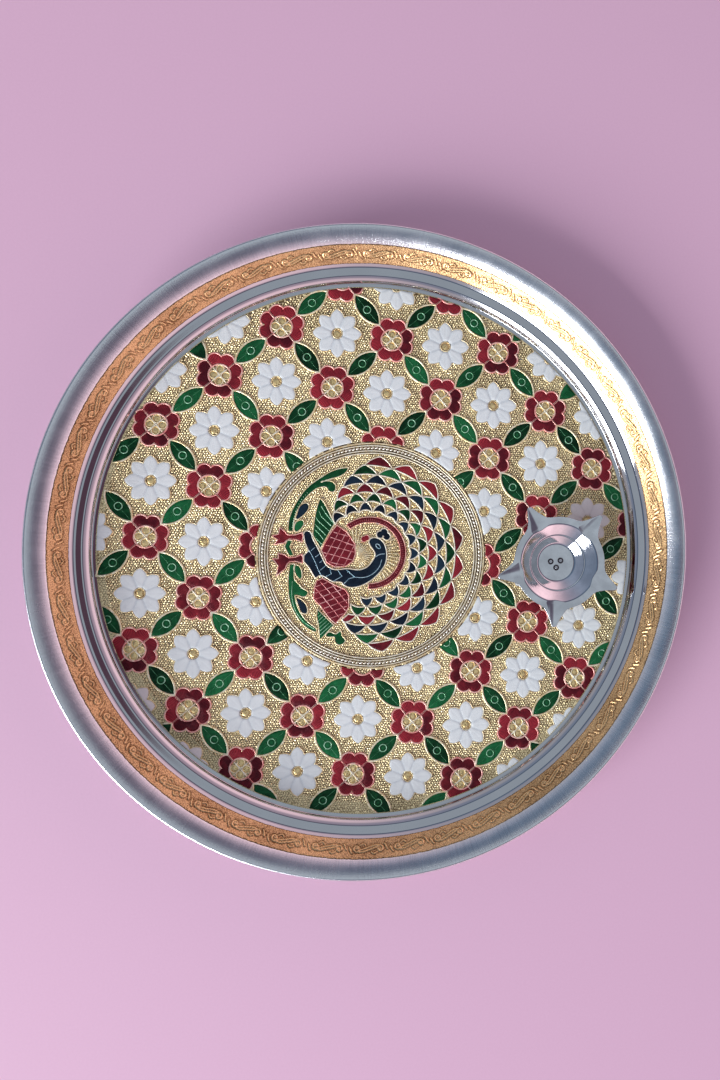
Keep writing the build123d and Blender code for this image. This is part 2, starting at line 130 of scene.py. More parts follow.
def remap(tree, value, lo, hi, to_lo=0.0, to_hi=1.0):
    args = (value, lo, hi, to_lo, to_hi)
    return put(tree, "ShaderNodeMapRange", args=args, interpolation_type="SMOOTHSTEP")


def blend(tree, factor, a, b):
    made = tree.nodes.new("ShaderNodeMix")
    made.data_type = "RGBA"
    for socket, value in ((made.inputs[0], factor), (made.inputs[6], a), (made.inputs[7], b)):
        if isinstance(value, bpy.types.NodeSocket):
            tree.links.new(value, socket)
        else:
            socket.default_value = value if isinstance(value, float) else (*value, 1.0)
    return made.outputs[2]


def place(tree):
    return put(tree, "ShaderNodeTexCoord", out=3)


def noise(tree, scale, detail, at=None, rough=0.5):
    vector = at or place(tree)
    return put(tree, "ShaderNodeTexNoise", Vector=vector, Scale=scale, Detail=detail, Roughness=rough)


def attribute(tree, name):
    return put(tree, "ShaderNodeAttribute", out=2, attribute_name=name)


def polar_place(tree, centre=(0.0, 0.0)):
    """Distance from an upright axis in metres, and the angle round it."""
    at = put(tree, "ShaderNodeVectorMath", operation="SUBTRACT", args=(place(tree), (*centre, 0.0)))
    split = tree.nodes.new("ShaderNodeSeparateXYZ")
    tree.links.new(at, split.inputs[0])
    x, y = split.outputs[0], split.outputs[1]
    radius = math(tree, "SQRT", plus(tree, times(tree, x, x), times(tree, y, y)))
    return radius, math(tree, "ARCTAN2", y, x)


def bumped(tree, bsdf, height, distance, strength):
    bump = put(tree, "ShaderNodeBump", Height=height, Distance=distance, Strength=strength)
    tree.links.new(bump, bsdf.inputs["Normal"])


def brushed(tree, angle, radius, turns, rings, detail, rough):
    """Noise drawn out along or across circles."""
    at = put(tree, "ShaderNodeCombineXYZ", args=(
        times(tree, angle, turns), times(tree, radius, rings), 0.0))
    return noise(tree, 1.0, detail, at, rough)


def coat(tree, bsdf, color, metallic, rough, gloss=0.0):
    """Sets the main shader's colour, metal share, roughness and clear coat."""
    tree.links.new(color, bsdf.inputs["Base Color"])
    bsdf.inputs["Metallic"].default_value = metallic
    tree.links.new(rough, bsdf.inputs["Roughness"])
    bsdf.inputs["Coat Weight"].default_value = gloss
    bsdf.inputs["Coat Roughness"].default_value = 0.1


# Materials


def make_steel():
    """Polished steel, brushed across the flange."""
    mat, tree, bsdf = shader("thali_steel")
    radius, angle = polar_place(tree)
    flange = remap(tree, radius, 0.1434, 0.1440)
    streak = times(tree, brushed(tree, angle, radius, 240.0, 60.0, 5.0, 0.75), flange)
    spin = brushed(tree, angle, radius, 2.0, 2500.0, 3.0, 0.6)
    smear = noise(tree, 60.0, 4.0)
    tone = plus(tree, streak, times(tree, smear, 0.4))
    color = blend(tree, remap(tree, tone, 0.1, 0.9), (0.46, 0.46, 0.49), (0.74, 0.74, 0.77))
    rough = plus(tree, times(tree, flange, 0.17), remap(tree, smear, 0.3, 0.8, 0.05, 0.12))
    coat(tree, bsdf, color, 1.0, rough)
    bumped(tree, bsdf, plus(tree, streak, times(tree, spin, 0.12)), 0.00012, 0.7)
    return mat


def make_lamp_steel():
    mat, tree, bsdf = shader("lamp_steel")
    radius, angle = polar_place(tree, tuple(DIYA * MM))
    spin = brushed(tree, angle, radius, 1.5, 3000.0, 3.0, 0.6)
    smear = noise(tree, 140.0, 4.0)
    color = blend(tree, remap(tree, smear, 0.3, 0.75), (0.52, 0.52, 0.55), (0.68, 0.68, 0.71))
    coat(tree, bsdf, color, 1.0, remap(tree, smear, 0.3, 0.8, 0.03, 0.10))
    bumped(tree, bsdf, plus(tree, times(tree, spin, 0.5), smear), 0.00003, 0.4)
    return mat


def make_weld():
    mat, tree, bsdf = shader("weld_steel")
    speck = noise(tree, 2500.0, 3.0)
    color = blend(tree, remap(tree, speck, 0.35, 0.7), (0.03, 0.025, 0.03), (0.15, 0.13, 0.15))
    coat(tree, bsdf, color, 0.9, remap(tree, speck, 0.3, 0.7, 0.25, 0.5))
    bumped(tree, bsdf, speck, 0.0001, 0.6)
    return mat


def make_foil(name, hollow, crest, span, grain, metallic, rough, relief):
    """Gold foil: painted highlight on its raised tops, painted shade in dull brown in its hollows."""
    mat, tree, bsdf = shader(name)
    at = place(tree)
    grit = noise(tree, grain, 2.0, at)
    stain = noise(tree, 40.0, 3.0, at)
    tone = plus(tree, attribute(tree, "raised"), remap(tree, grit, 0.3, 0.7, -0.16, 0.16))
    tone = plus(tree, tone, remap(tree, stain, 0.3, 0.7, -0.08, 0.08))
    # Painted highlight on the raised tops and painted shade in the hollows, from the raised attribute.
    color = blend(tree, remap(tree, tone, *span), hollow, crest)
    coat(tree, bsdf, color, metallic, remap(tree, grit, 0.3, 0.7, rough - 0.06, rough + 0.06))
    bumped(tree, bsdf, grit, relief, 0.8)
    return mat


def make_punched(name, pit, gold):
    """Gold dome with small punched pits, darkened in them as painted shade."""
    mat, tree, bsdf = shader(name)
    at = place(tree)
    cells = put(tree, "ShaderNodeTexVoronoi", Vector=at, Scale=1050.0, feature="F1")
    flat = remap(tree, cells, 0.12, 0.42)
    rough = remap(tree, noise(tree, 500.0, 3.0, at), 0.3, 0.7, 0.26, 0.40)
    # The pit colour is painted shade in the punched pits.
    coat(tree, bsdf, blend(tree, flat, pit, gold), 0.8, rough)
    bumped(tree, bsdf, flat, 0.00009, 0.8)
    return mat


def make_ridge(name, a, b, metallic, rough=0.3):
    """Raised outline of the embossing, tinted by the lacquer beside it."""
    mat, tree, bsdf = shader(name)
    speck = noise(tree, 420.0, 4.0)
    color = blend(tree, remap(tree, speck, 0.35, 0.65), a, b)
    coat(tree, bsdf, color, metallic, remap(tree, speck, 0.3, 0.7, rough - 0.08, rough + 0.08))
    bumped(tree, bsdf, noise(tree, 1800.0, 2.0), 0.00008, 0.6)
    return mat


def make_enamel(name, deep, clear, lines):
    """Lacquer over embossed foil: clearer where it is thin, with hatching in the lighter pieces."""
    mat, tree, bsdf = shader(name)
    shade = attribute(tree, "shade")
    wave = math(tree, "SINE", times(tree, attribute(tree, "hatch"), 2 * pi))
    blot = noise(tree, 300.0, 3.0)
    seen = remap(tree, shade, 0.25, 0.85, 0.10 * lines, 0.50 * lines)
    amount = times(tree, remap(tree, wave, -0.1, 1.0), seen)
    amount = plus(tree, amount, math(tree, "MULTIPLY_ADD", shade, 0.30, attribute(tree, "thin_and_shade")))
    amount = plus(tree, amount, remap(tree, blot, 0.35, 0.8, -0.06, 0.14))
    amount = put(tree, "ShaderNodeClamp", Value=amount)
    coat(tree, bsdf, blend(tree, amount, deep, clear), 0.15, remap(tree, blot, 0.3, 0.8, 0.26, 0.38), 0.05)
    bsdf.inputs["Specular IOR Level"].default_value = 0.1
    height = plus(tree, times(tree, wave, 0.5 * lines), times(tree, blot, 0.5))
    bumped(tree, bsdf, height, 0.00006, 0.9)
    return mat


def make_white():
    """Opaque white lacquer, rubbed dull on the worn flowers."""
    mat, tree, bsdf = shader("white_enamel")
    blot = noise(tree, 260.0, 3.0)
    worn = attribute(tree, "worn")
    # For the white flowers this attribute is painted light: lighter petal crowns as painted highlight, darker
    # seams and veins as painted shade.
    light = plus(tree, attribute(tree, "thin_and_shade"), remap(tree, blot, 0.35, 0.8, -0.08, 0.14))
    light = math(tree, "MULTIPLY_ADD", attribute(tree, "shade"), 0.12, light)
    light = put(tree, "ShaderNodeClamp", Value=light)
    clean = blend(tree, light, (0.61, 0.65, 0.68), (0.85, 0.87, 0.86))
    dull = blend(tree, light, (0.76, 0.66, 0.65), (0.90, 0.80, 0.78))
    coat(tree, bsdf, blend(tree, worn, clean, dull), 0.0, remap(tree, blot, 0.3, 0.8, 0.26, 0.40), 0.25)
    bumped(tree, bsdf, blot, 0.00003, 0.8)
    return mat


STEEL = make_steel()
LAMP_STEEL = make_lamp_steel()
WELD = make_weld()
# The first colour of each foil is painted shade for its hollows, the second painted highlight for its tops.
FOIL = make_foil("floor_gold", (0.12, 0.062, 0.015), (1.0, 0.84, 0.48), (0.02, 0.52), 2600.0, 0.45, 0.28,
                 0.0001)
BAND = make_foil("band_gold", (0.15, 0.065, 0.022), (0.90, 0.58, 0.29), (0.1, 0.85), 1800.0, 0.8, 0.28,
                 0.00016)
# The first colour is painted shade for the pits.
HEART = make_punched("heart_gold", (0.34, 0.21, 0.07), (0.88, 0.66, 0.32))
GOLD_LINE = make_ridge("gold_line", (0.84, 0.62, 0.33), (1.0, 0.88, 0.60), 0.5)
ROPE = make_ridge("rope_gold", (0.92, 0.82, 0.62), (1.0, 0.97, 0.88), 0.5, 0.22)
CREAM_LINE = make_ridge("cream_line", (0.92, 0.80, 0.58), (1.0, 0.96, 0.82), 0.35)
ROSE_LINE = make_ridge("rose_line", (0.92, 0.33, 0.30), (1.0, 0.64, 0.54), 0.35)
LEAF_LINE = make_ridge("leaf_line", (0.88, 0.69, 0.38), (1.0, 0.92, 0.68), 0.4)
MINT_LINE = make_ridge("mint_line", (0.14, 0.42, 0.20), (0.46, 0.78, 0.54), 0.4)
SKY_LINE = make_ridge("sky_line", (0.20, 0.38, 0.48), (0.56, 0.76, 0.84), 0.4)
PINK_LINE = make_ridge("pink_line", (0.62, 0.14, 0.15), (0.95, 0.48, 0.46), 0.4)
FERN_LINE = make_ridge("fern_line", (0.02, 0.13, 0.05), (0.08, 0.30, 0.14), 0.3)
WINE_LINE = make_ridge("wine_line", (0.26, 0.035, 0.045), (0.52, 0.14, 0.14), 0.3)
RED, GREEN, NAVY, WHITE = "red_enamel", "green_enamel", "navy_enamel", "white_enamel"
LACQUER = {
    RED: make_enamel(RED, (0.065, 0.006, 0.012), (0.58, 0.045, 0.065), 1.3),
    GREEN: make_enamel(GREEN, (0.001, 0.019, 0.006), (0.030, 0.30, 0.10), 0.9),
    NAVY: make_enamel(NAVY, (0.005, 0.009, 0.019), (0.035, 0.085, 0.14), 0.3),
    WHITE: make_white(),
}


# Mesh helpers


def build(name, verts, faces, mat, slot, stands_for=(), smooth=True, **attributes):
    """A mesh piece, given in millimetres, that rides with the thali."""
    mesh = bpy.data.meshes.new(name)
    mesh.from_pydata((np.asarray(verts, float) * MM).tolist(), [], faces)
    if smooth:
        mesh.shade_smooth()
    for key, values in attributes.items():
        layer = mesh.attributes.new(key, "FLOAT", "POINT")
        layer.data.foreach_set("value", np.asarray(values, np.float32))
    piece = bpy.data.objects.new(name, mesh)
    piece.data.materials.append(mat)
    scene.collection.objects.link(piece)
    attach(piece, "root")
    if stands_for:
        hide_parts(*stands_for)
    return piece


def heading(angle):
    return np.array((cos(angle), sin(angle)))


def unit_circle(count):
    """Points round a circle; the last one returns to the first."""
    turn = np.linspace(0, 2 * pi, count)
    return np.stack([np.cos(turn), np.sin(turn)], 1)


def bridge(a, b, count):
    """Faces between two closed rings of points, given by their first points."""
    return [(a + k, b + k, b + (k + 1) % count, a + (k + 1) % count) for k in range(count)]


def arc(start, radius, slope_from, slope_to, hollow, count):
    """Points on a bend of the dish's profile, the start left out."""
    side = 1 if hollow else -1
    points = []
    for slope in np.linspace(slope_from, slope_to, count + 1)[1:]:
        points.append((
            start[0] + side * radius * (sin(slope) - sin(slope_from)),
            start[1] + side * radius * (cos(slope_from) - cos(slope)),
        ))
    return points


def soften(points, spacing, blur):
    """A profile resampled evenly, with its creases rounded off."""
    path = np.array(points, float)
    run = np.concatenate([[0], np.cumsum(np.hypot(*np.diff(path, axis=0).T))])
    even = np.linspace(0, run[-1], int(run[-1] / spacing) + 1)
    out = np.stack([np.interp(even, run, path[:, i]) for i in range(2)], 1)
    reach = int(3 * blur / spacing)
    weights = np.exp(-0.5 * (np.arange(-reach, reach + 1) * spacing / blur) ** 2)
    weights /= weights.sum()
    padded = np.concatenate([2 * out[0] - out[reach:0:-1], out, 2 * out[-1] - out[-2:-reach - 2:-1]])
    return np.stack([np.convolve(padded[:, i], weights, "valid") for i in range(2)], 1)


def lathe(profile, segments, centre=(0.0, 0.0)):
    """A closed body turned from a profile that begins and ends on its axis."""
    turn = np.linspace(0, 2 * pi, segments, endpoint=False)
    verts = [(*centre, profile[0][1])]
    for r, z in profile[1:-1]:
        verts += [(centre[0] + r * cos(a), centre[1] + r * sin(a), z) for a in turn]
    verts.append((*centre, profile[-1][1]))
    rings = len(profile) - 2
    last = 1 + (rings - 1) * segments
    faces = []
    for k in range(segments):
        n = (k + 1) % segments
        faces += [(1 + k, 1 + n, 0), (last + k, len(verts) - 1, last + n)]
    for ring in range(rings - 1):
        faces += bridge(1 + ring * segments, 1 + (ring + 1) * segments, segments)
    return verts, faces


@cache
def outlines(node):
    """Outer loop and holes of each solid of an enamel node, seen from above."""
    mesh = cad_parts[node].data
    co = np.array([v.co for v in mesh.vertices]) * 1000
    top = co[:, 2].max() - 0.01
    edges = set()
    where = {}
    for poly in mesh.polygons:
        if all(co[i][2] > top for i in poly.vertices):
            keys = []
            for i in poly.vertices:
                key = (round(co[i][0], 3), round(co[i][1], 3))
                where[key] = co[i][:2]
                keys.append(key)
            for a, b in zip(keys, keys[1:] + keys[:1]):
                edges.add((a, b))
    follow = {a: b for a, b in edges if (b, a) not in edges}
    loops = []
    while follow:
        first = min(follow)
        loop = [first]
        step = follow.pop(first)
        while step != first and step in follow:
            loop.append(step)
            step = follow.pop(step)
        loops.append(np.array([where[k] for k in loop]))
    outer = [p for p in loops if area(p) > 0]
    holes = [p for p in loops if area(p) <= 0]
    return [(p, [h for h in holes if inside(h[:1], [p])[0]]) for p in outer]


def area(loop):
    x, y = loop.T
    return 0.5 * float(np.sum(x * np.roll(y, -1) - np.roll(x, -1) * y))


def inside(points, loops):
    """Even-odd test of points against closed loops."""
    hit = np.zeros(len(points), bool)
    for loop in loops:
        ax, ay = loop.T
        bx, by = np.roll(loop, -1, 0).T
        px, py = points[:, :1], points[:, 1:]
        cross = (ay > py) != (by > py)
        with np.errstate(divide="ignore", invalid="ignore"):
            at = (bx - ax) * (py - ay) / (by - ay) + ax
        hit ^= (np.sum(cross & (px < at), 1) % 2).astype(bool)
    return hit


def nearest(points, starts, ways):
    """Distance from points to the nearest of some straight lines."""
    rel = points[:, None, :] - starts
    t = np.clip((rel * ways).sum(2) / np.maximum((ways ** 2).sum(1), 1e-12), 0, 1)
    return np.hypot(*np.moveaxis(rel - t[..., None] * ways, 2, 0)).min(1)


def gap(points, loops):
    """Distance from points to the nearest edge of the loops."""
    best = np.full(len(points), 1e9)
    for loop in loops:
        best = np.minimum(best, nearest(points, loop, np.roll(loop, -1, 0) - loop))
    return best


def filled(loops, pitch):
    """Triangles over a flat shape, with inner points on a grid. Loop points come first."""
    rim = np.concatenate(loops)
    lo, hi = rim.min(0), rim.max(0)
    inner = np.zeros((0, 2))
    if pitch:
        gx, gy = np.meshgrid(np.arange(lo[0], hi[0], pitch), np.arange(lo[1], hi[1], 0.87 * pitch))
        gx = gx + 0.5 * pitch * (np.arange(len(gy)) % 2)[:, None]
        inner = np.stack([gx.ravel(), gy.ravel()], 1)
        inner = inner[inside(inner, loops)]
        inner = inner[gap(inner, loops) > 0.45 * pitch]
    points = np.concatenate([rim, inner])
    links = []
    start = 0
    for loop in loops:
        n = len(loop)
        links += [(start + i, start + (i + 1) % n) for i in range(n)]
        start += n
    got = delaunay_2d_cdt([Vector(p) for p in points], links, [], 1, 1e-5)
    points = np.array([tuple(v) for v in got[0]])
    faces = [tuple(f) for f in got[2]]
    middle = np.array([points[list(f)].mean(0) for f in faces])
    return points, [f for f, ok in zip(faces, inside(middle, loops)) if ok]


def thinned(loop, least=0.12):
    """A loop without points that crowd together."""
    kept = [loop[0]]
    for p in loop[1:]:
        if hypot(*(p - kept[-1])) > least:
            kept.append(p)
    if len(kept) > 3 and hypot(*(kept[-1] - kept[0])) < least:
        kept.pop()
    return np.array(kept)


rng = np.random.default_rng(7)
PEBBLE_H = 0.28
PEBBLE_TOP = 0.1
WIDE_PEBBLE = 1.2
FINE_PEBBLE = 1.06


def enamel(node, slot, relief, pitch=0.6):
    """Replaces an enamel node by closed, softly rounded drops of lacquer with their relief."""
    verts, faces, layers = [], [], {}
    for outer, holes in outlines(node):
        loops = [thinned(outer)] + [thinned(h) for h in holes]
        points, tris = filled(loops, pitch)
        height, marks = relief(points, gap(points, loops))
        marks["shade"] = np.full(len(points), rng.random())
        base = len(verts)
        verts += [(x, y, FOIL_Z + h) for (x, y), h in zip(points, height)]
        faces += [tuple(base + i for i in f) for f in tris]
        used = {(a, b) for f in tris for a, b in zip(f, f[1:] + f[:1])}
        rim = sorted((a, b) for a, b in used if (b, a) not in used)
        low = {}
        for a, _ in rim:
            low[a] = len(verts)
            verts.append((*points[a], FOIL_Z - PEBBLE_H))
        faces += [(base + b, base + a, low[a], low[b]) for a, b in rim if b in low]
        bottom, under = filled(loops, 0)
        index = {(round(p[0], 4), round(p[1], 4)): i for i, p in enumerate(points)}
        ids = [index.get((round(p[0], 4), round(p[1], 4))) for p in bottom]
        faces += [tuple(low[ids[i]] for i in f[::-1]) for f in under if all(ids[i] in low for i in f)]
        extra = len(verts) - base - len(points)
        for key, values in marks.items():
            layers.setdefault(key, []).extend([*values, *[values[0]] * extra])
    return build("dressed_" + node, verts, faces, LACQUER[slot], slot, (node,), **layers)


def shifted(path, off):
    """A path moved sideways, to its right when off is positive, with limited corners."""
    path = np.asarray(path, float)
    closed = np.allclose(path[0], path[-1])
    core = path[:-1] if closed else path
    ahead = np.roll(core, -1, 0) - core
    behind = core - np.roll(core, 1, 0)
    if not closed:
        ahead[-1] = ahead[-2]
        behind[0] = behind[1]
    ahead /= np.maximum(np.hypot(*ahead.T), 1e-9)[:, None]
    behind /= np.maximum(np.hypot(*behind.T), 1e-9)[:, None]
    mean = ahead + behind
    size = np.maximum(np.hypot(*mean.T), 1e-6)
    mean /= size[:, None]
    grow = np.minimum(2.0 / size, 1.6)[:, None]
    moved = core + off * grow * np.stack([mean[:, 1], -mean[:, 0]], 1)
    return np.concatenate([moved, moved[:1]]) if closed else moved


SECTION = ((-1.0, -0.5), (-0.8, 0.55), (-0.35, 0.92), (0.35, 0.92), (0.8, 0.55), (1.0, -0.5))


def ridges(name, paths, width, height, mat, slot="gold_foil", base=FOIL_Z, stands_for=()):
    """Half-round raised lines along flat paths; a path that returns to its first point is closed."""
    verts, faces = [], []
    m = len(SECTION)
    for path in paths:
        path = np.asarray(path, float)
        closed = bool(np.allclose(path[0], path[-1]))
        n = len(path) - closed
        start = len(verts)
        rails = [shifted(path, 0.5 * width * s) for s, _ in SECTION]
        run = np.concatenate([[0], np.cumsum(np.hypot(*np.diff(path, axis=0).T))])
        ends = np.minimum(run, run[-1] - run)
        taper = np.ones(n) if closed else 0.35 + 0.65 * np.clip(ends / (1.2 * width), 0, 1)
        for i in range(n):
            for rail, (_, z) in zip(rails, SECTION):
                verts.append((*(path[i] + (rail[i] - path[i]) * taper[i]), base + height * z * taper[i]))
        for i in range(n if closed else n - 1):
            a, b = start + m * i, start + m * ((i + 1) % n)
            faces += [(b + k, b + (k + 1) % m, a + (k + 1) % m, a + k) for k in range(m)]
        if not closed:
            faces.append(tuple(start + k for k in range(m)))
            faces.append(tuple(start + m * (n - 1) + k for k in range(m))[::-1])
    return build(name, verts, faces, mat, slot, stands_for)


def curve(points, spacing=0.4):
    """A smooth line through a few points."""
    p = np.asarray(points, float)
    ends = np.concatenate([2 * p[:1] - p[1:2], p, 2 * p[-1:] - p[-2:-1]])
    out = []
    for a, b, c, d in zip(ends, ends[1:], ends[2:], ends[3:]):
        for t in np.linspace(0, 1, max(int(hypot(*(c - b)) / spacing), 2), endpoint=False):
            bend = (2 * a - 5 * b + 4 * c - d) * t ** 2 + (3 * b - a - 3 * c + d) * t ** 3
            out.append(b + 0.5 * ((c - a) * t + bend))
    return np.array(out + [p[-1]])


def ray(start, end, spacing=0.35):
    """Points along a straight line."""
    start, end = np.asarray(start, float), np.asarray(end, float)
    count = max(int(hypot(*(end - start)) / spacing), 2)
    return start + (end - start) * np.linspace(0, 1, count + 1)[:, None]


def stretches(path, keep):
    """Unbroken runs of a path's points where keep is true."""
    runs, run = [], []
    for point, kept in zip(path, keep):
        if kept:
            run.append(point)
        elif run:
            runs.append(run)
            run = []
    return [np.array(r) for r in runs + [run] if len(r) > 2]


def within(path, loops, inset=0.2):
    """Stretches of a path inside loops, clear of their edges."""
    return stretches(path, inside(path, loops) & (gap(path, loops) > inset))


def uncut(loop):
    """Stretches of an outline that aren't cut by the foil's edge, the medallion or the lamp's foot."""
    free = np.hypot(*loop.T) < FOIL_R - EDGE - 0.1
    free &= np.hypot(*(loop - PATTERN).T) > MEDAL_R + EDGE + 0.1
    free &= np.hypot(*(loop - DIYA).T) > BASE_R + 2 * EDGE + 0.1
    if free.all() or np.hypot(*(loop - PATTERN).T).max() < MEDAL_R:
        return [np.concatenate([loop, loop[:1]])]
    first = int(np.flatnonzero(~free)[0])
    runs, run = [], []
    for point, kept in zip(np.roll(loop, -first, 0), np.roll(free, -first)):
        if kept:
            run.append(point)
        else:
            runs.append(run + [point])
            run = [point]
    runs.append(run + [loop[first]])
    return [np.array(r) for r in runs if len(r) > 2]


def around(nodes, off, least=0.25):
    """Lines just outside the outlines of enamel nodes."""
    loops = [thinned(outer, least) for node in nodes for outer, _ in outlines(node)]
    return [shifted(run, off) for loop in loops for run in uncut(loop)]


def beads(name, spots, mat, slot="gold_foil", base=FOIL_Z, rings=4, sides=10):
    """Low domes, each given as x, y, radius along, radius across, turn and height."""
    verts, faces = [], []
    for x, y, ra, rb, turn, high in spots:
        start = len(verts)
        for k in range(rings):
            t = k / rings
            for i in range(sides):
                a = 2 * pi * i / sides
                u, v = ra * cos(a) * (1 - t ** 1.6), rb * sin(a) * (1 - t ** 1.6)
                verts.append((x + u * cos(turn) - v * sin(turn), y + u * sin(turn) + v * cos(turn),
                              base - PEBBLE_H + (high + PEBBLE_H) * sin(0.5 * pi * t)))
        verts.append((x, y, base + high))
        top = len(verts) - 1
        for k in range(rings - 1):
            for i in range(sides):
                j = (i + 1) % sides
                a, b = start + k * sides, start + (k + 1) * sides
                faces.append((a + i, a + j, b + j, b + i))
        last = start + (rings - 1) * sides
        faces += [(last + i, last + (i + 1) % sides, top) for i in range(sides)]
        faces.append(tuple(start + i for i in range(sides))[::-1])
    return build(name, verts, faces, mat, slot)


AXES = np.array((heading(PATTERN_A), heading(PATTERN_A + 0.5 * pi)))


def to_pattern(points):
    """Lattice coordinates of points on the floor."""
    return (points - PATTERN) @ AXES.T


def from_pattern(points):
    return PATTERN + points @ AXES


def on_floor(x, y, reach=0.0):
    """True where a small motif at this place is whole and clear of the medallion and the lamp."""
    return (
        hypot(x, y) < FOIL_R - 0.4 - reach
        and hypot(x - PATTERN[0], y - PATTERN[1]) > MEDAL_R + 0.4 + reach
        and hypot(x - DIYA[0], y - DIYA[1]) > BASE_R + 1.2 + reach
    )


# Steel dish
top = [(120.0, SHEET_T), (FLOOR_R, SHEET_T)]
top += arc(top[-1], STEP_R, STEP_FOOT_A, STEP_HEAD_A, False, 24)
top += [(LEDGE_IN_R, LEDGE_Z), (LEDGE_OUT_R, LEDGE_Z)]
top += arc(top[-1], FILLET_R, 0, WALL_A, True, 16)
top += [WALL_TOP]
FLANGE_R = (LIP[0] - WALL_TOP[0]) / (sin(WALL_A) - sin(LIP_A))
top += arc(WALL_TOP, FLANGE_R, WALL_A, LIP_A, False, 24)
roll = [tuple(BEAD_C + BEAD_R * heading(a)) for a in np.radians(np.linspace(114, -126, 40))]
under = [(p[0] + SHEET_T * 0.62, p[1] - SHEET_T * 0.78) for p in top[-1:52:-6]]
below = [
    (WALL_TOP[0] + SHEET_T * sin(WALL_A), WALL_TOP[1] - SHEET_T * cos(WALL_A)),
    (WALL_FOOT[0] + SHEET_T * sin(WALL_A), WALL_FOOT[1] - SHEET_T * cos(WALL_A)),
    (LEDGE_OUT_R + 0.4, LEDGE_Z - SHEET_T),
    (LEDGE_IN_R + 0.3, LEDGE_Z - SHEET_T),
    (FLOOR_R + 0.55, 0.0),
    (120.0, 0.0),
]
upper = soften(top, 0.15, 0.16)[::2]
lower = soften(roll[-1:] + under[1:-1] + below, 0.5, 0.5)
profile = [(0.0, SHEET_T), (60.0, SHEET_T)] + [tuple(p) for p in upper] + roll[1:-1]
profile += [(r, max(z, 0.0)) for r, z in lower] + [(60.0, 0.0), (0.0, 0.0)]
build("dressed_dish", *lathe(profile, 400), STEEL, "polished_steel", ("thali_plate",))


# Embossed strip round the wall
SCROLLS = 46
TILE = (BAND_W, 2 * pi * 140.7 / SCROLLS)


def scroll_lines():
    """Strokes of one lying S-scroll: two curled ends joined by a double line, with small leaves."""
    strokes = []
    t = np.linspace(-1, 1, 40)
    for off in (-0.62, 0.62):
        x = 5.2 * t
        strokes.append((np.stack([x, 1.15 * np.sin(0.5 * pi * t) + off * (1 - t ** 4)], 1), 0.23))
    a = np.linspace(0, 1.6 * pi, 40)
    r = 1.65 - 0.16 * a
    t = np.linspace(0, 1, 14)
    for side in (-1, 1):
        curl = np.stack([5.4 - r * np.cos(a + 0.45 * pi), -0.15 + 0.95 * r * np.sin(a + 0.45 * pi)], 1)
        leaf = np.stack([1.4 + 2.6 * t, -1.5 - 1.1 * np.sin(pi * t) * (1 - 0.5 * t)], 1)
        tail = np.stack([7.6 + 1.3 * t, 2.0 - 2.6 * t ** 1.5], 1)
        strokes += [(side * curl, 0.23), (side * leaf, 0.2), (side * tail, 0.2)]
    return strokes


def scroll_height(u, v):
    """Relief of the strip at places along and across it, from the grooves to the tops of its lines."""
    points = np.stack([u, v], 1)
    line = np.zeros(len(points))
    groove = np.zeros(len(points))
    for path, half in scroll_lines():
        near = np.full(len(points), 1e9)
        for shift in (-TILE[1], 0.0, TILE[1]):
            near = np.minimum(near, nearest(points, path[:-1] + (shift, 0), np.diff(path, axis=0)))
        line = np.maximum(line, np.exp(-0.5 * (near / half) ** 2))
        groove = np.maximum(groove, np.exp(-0.5 * ((near - 2.6 * half) / half) ** 2))
    for x, y in ((-5.4, 0.15), (5.4, -0.15)):
        line = np.maximum(line, np.exp(-0.5 * (np.hypot(u - x, v - y) / 0.38) ** 2))
    return line - 0.7 * groove * (1 - line)


def strip():
    """The strip's wavy edges, its overlap near the top of the dish and its scrolls."""
    across = np.linspace(-BAND_W / 2, BAND_W / 2, 30)
    per = 62
    count = per * SCROLLS
    u = (np.arange(per) / per - 0.5) * TILE[1]
    uu, vv = np.meshgrid(u, across, indexing="ij")
    tile = scroll_height(uu.ravel(), vv.ravel()).reshape(uu.shape)
    normal = np.array((-sin(WALL_A), cos(WALL_A)))
    along = np.array((cos(WALL_A), sin(WALL_A)))
    foot = np.array(WALL_FOOT) + STRIP_W * along
    ragged = rng.normal(0, 1, (2, count))
    soft = np.exp(-0.5 * (np.arange(-12, 13) / 2.0) ** 2)
    soft /= soft.sum()
    ragged = [np.convolve(np.concatenate([w[-12:], w, w[:12]]), soft, "valid") for w in ragged]
    verts, raised = [], []
    for i in range(count):
        a = radians(93.0) - 2 * pi * i / count
        lap = 0.08 if i < 5 or i > count - 3 else 0.0
        edges = (0.14 * abs(ragged[0][i]), -0.22 * abs(ragged[1][i]))
        v = across + BAND_W / 2 + np.interp(across, (-BAND_W / 2, BAND_W / 2), edges)
        rim = np.clip(np.minimum(across + BAND_W / 2, BAND_W / 2 - across) / 0.4, 0.0, 1.0)
        relief = tile[i % per] * rim
        for dv, dh in zip(v, GLUE_T + 0.02 + 0.05 * rim + 0.28 * np.maximum(relief, -0.2) + lap):
            r, z = foot + dv * along + dh * normal
            verts.append((r * cos(a), r * sin(a), z))
        for dv in (v[-1], v[0]):
            r, z = foot + dv * along - 0.02 * normal
            verts.append((r * cos(a), r * sin(a), z))
        # Painted light in the colour: scroll lines painted as highlight, grooves beside them as shade, and
        # the strip's edges drawn darker.
        raised += [*(0.54 + 0.42 * relief - 0.3 * (1 - rim)), 0.2, 0.2]
    m = len(across) + 2
    faces = []
    for i in range(count):
        faces += [face[::-1] for face in bridge(m * i, m * ((i + 1) % count), m)]
    build("dressed_band", verts, faces, BAND, "gold_foil", ("rim_band",), raised=raised)


strip()

ENAMELS = [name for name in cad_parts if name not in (
    "thali_plate", "rim_band", "floor_foil", "diya_bowl", "spot_welds")]


